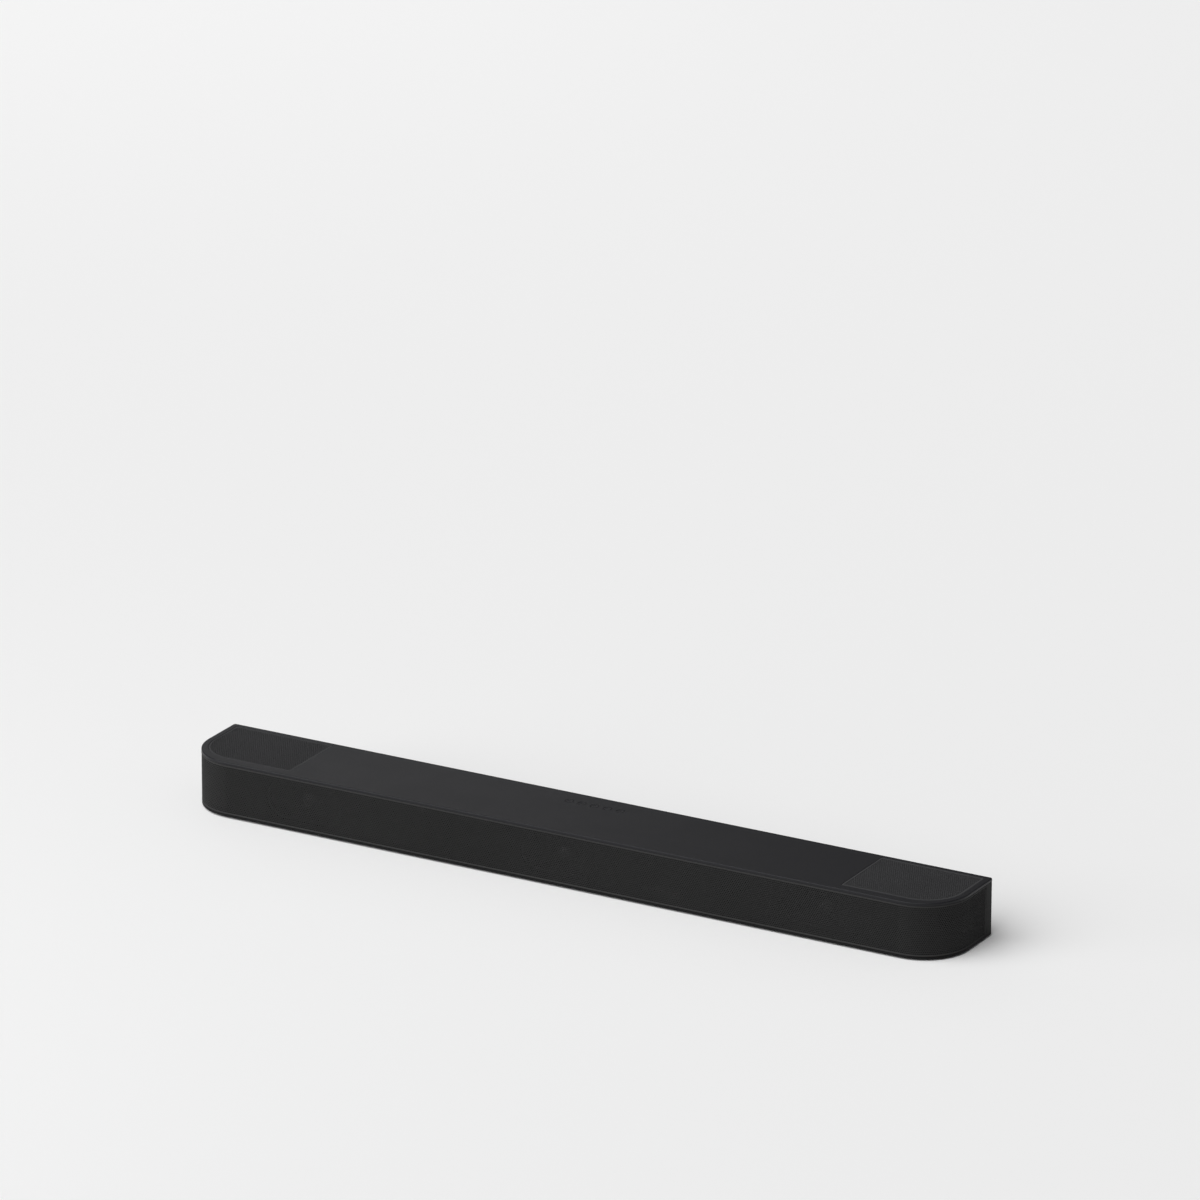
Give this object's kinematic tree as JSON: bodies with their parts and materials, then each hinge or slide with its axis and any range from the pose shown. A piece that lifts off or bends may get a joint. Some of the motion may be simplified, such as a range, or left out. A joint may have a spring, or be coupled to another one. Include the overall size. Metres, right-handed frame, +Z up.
{
  "type": "soundbar",
  "caption": "Long low soundbar with rounded front corners, a wrap-around perforated grille, up-firing drivers under end grilles and press keys on top.",
  "frame": {"origin": "on the surface that the feet stand on, under the middle of the bar's outline", "axes": "+X along the bar, to the right of a viewer facing its front; +Y to the rear; +Z up"},
  "size_m": [0.95, 0.11, 0.066],
  "materials": {
    "cabinet_plastic": "fine moulded grain, black",
    "top_panel": "satin fine grain, charcoal black",
    "grille_mesh": "perforated steel sheet, matte black powder coat",
    "inner_moulding": "black moulded plastic",
    "foot_rubber": "soft black rubber",
    "key_cap": "satin, the same as the top panel",
    "driver_frame": "pressed steel, black",
    "driver_magnet": "ferrite ring with zinc-plated plates",
    "driver_cone": "coated black cone",
    "driver_surround": "half-roll rubber",
    "spider_cloth": "corrugated impregnated cloth",
    "circuit_board": "solder-masked board",
    "heat_sink": "extruded aluminium",
    "transformer_tape": "yellow insulating tape",
    "socket_shell": "plated folded steel",
    "rear_panel_plastic": "black moulded panel",
    "socket_plastic": "black moulded plastic",
    "screw_steel": "black zinc-plated steel"
  },
  "bodies": {
    "cabinet": {"av_port_in": "socket_shell", "av_port_out": "socket_shell", "bottom_cabinet": "cabinet_plastic", "centre_basket": "driver_frame", "centre_motor": "driver_magnet", "centre_spider": "spider_cloth", "centre_surround": "driver_surround", "foot_front_left": "foot_rubber", "foot_front_right": "foot_rubber", "foot_rear_left": "foot_rubber", "foot_rear_right": "foot_rubber", "front_baffle": "inner_moulding", "front_grille": "grille_mesh", "heat_sink": "heat_sink", "indicator_board": "circuit_board", "key_board": "circuit_board", "left_basket": "driver_frame", "left_motor": "driver_magnet", "left_spider": "spider_cloth", "left_surround": "driver_surround", "main_board": "circuit_board", "optical_port": "socket_plastic", "power_board": "circuit_board", "power_inlet": "socket_plastic", "power_transformer": "transformer_tape", "rear_panel": "rear_panel_plastic", "right_basket": "driver_frame", "right_motor": "driver_magnet", "right_spider": "spider_cloth", "right_surround": "driver_surround", "screw_1": "screw_steel", "screw_2": "screw_steel", "screw_3": "screw_steel", "screw_4": "screw_steel", "screw_5": "screw_steel", "screw_6": "screw_steel", "service_port": "socket_shell", "top_cover": "top_panel", "top_grille_left": "grille_mesh", "top_grille_right": "grille_mesh", "up_chamber_left": "inner_moulding", "up_chamber_right": "inner_moulding", "up_left_basket": "driver_frame", "up_left_motor": "driver_magnet", "up_left_surround": "driver_surround", "up_right_basket": "driver_frame", "up_right_motor": "driver_magnet", "up_right_surround": "driver_surround", "wireless_module": "circuit_board"},
    "left_cone": {"left_cone": "driver_cone"},
    "centre_cone": {"centre_cone": "driver_cone"},
    "right_cone": {"right_cone": "driver_cone"},
    "up_left_cone": {"up_left_cone": "driver_cone"},
    "up_right_cone": {"up_right_cone": "driver_cone"},
    "key_power": {"key_power": "key_cap"},
    "key_input": {"key_input": "key_cap"},
    "key_wireless": {"key_wireless": "key_cap"},
    "key_volume_down": {"key_volume_down": "key_cap"},
    "key_volume_up": {"key_volume_up": "key_cap"},
    "optical_shutter": {"optical_shutter": "socket_plastic"}
  },
  "joints": [
    {"name": "left_cone_slide", "type": "slide", "parent": "cabinet", "child": "left_cone", "axis": [0, -1, 0], "range_m": [-0.002, 0.002], "stiffness_N_per_m": 1500, "deforming": ["left_surround", "left_spider"]},
    {"name": "centre_cone_slide", "type": "slide", "parent": "cabinet", "child": "centre_cone", "axis": [0, -1, 0], "range_m": [-0.002, 0.002], "stiffness_N_per_m": 1500, "deforming": ["centre_surround", "centre_spider"]},
    {"name": "right_cone_slide", "type": "slide", "parent": "cabinet", "child": "right_cone", "axis": [0, -1, 0], "range_m": [-0.002, 0.002], "stiffness_N_per_m": 1500, "deforming": ["right_surround", "right_spider"]},
    {"name": "up_left_cone_slide", "type": "slide", "parent": "cabinet", "child": "up_left_cone", "axis": [0, -0.309, 0.9511], "range_m": [-0.0015, 0.0015], "stiffness_N_per_m": 1500, "deforming": ["up_left_surround"]},
    {"name": "up_right_cone_slide", "type": "slide", "parent": "cabinet", "child": "up_right_cone", "axis": [0, -0.309, 0.9511], "range_m": [-0.0015, 0.0015], "stiffness_N_per_m": 1500, "deforming": ["up_right_surround"]},
    {"name": "key_power_press", "type": "slide", "parent": "cabinet", "child": "key_power", "axis": [0, 0, -1], "range_m": [0, 0.0005], "stiffness_N_per_m": 2000},
    {"name": "key_input_press", "type": "slide", "parent": "cabinet", "child": "key_input", "axis": [0, 0, -1], "range_m": [0, 0.0005], "stiffness_N_per_m": 2000},
    {"name": "key_wireless_press", "type": "slide", "parent": "cabinet", "child": "key_wireless", "axis": [0, 0, -1], "range_m": [0, 0.0005], "stiffness_N_per_m": 2000},
    {"name": "key_volume_down_press", "type": "slide", "parent": "cabinet", "child": "key_volume_down", "axis": [0, 0, -1], "range_m": [0, 0.0005], "stiffness_N_per_m": 2000},
    {"name": "key_volume_up_press", "type": "slide", "parent": "cabinet", "child": "key_volume_up", "axis": [0, 0, -1], "range_m": [0, 0.0005], "stiffness_N_per_m": 2000},
    {"name": "optical_shutter_hinge", "type": "hinge", "parent": "cabinet", "child": "optical_shutter", "pos_m": [-0.112, 0.0319, 0.0266], "axis": [-1, 0, 0], "range_deg": [0, 85], "stiffness_Nm_per_rad": 0.0002}
  ]
}
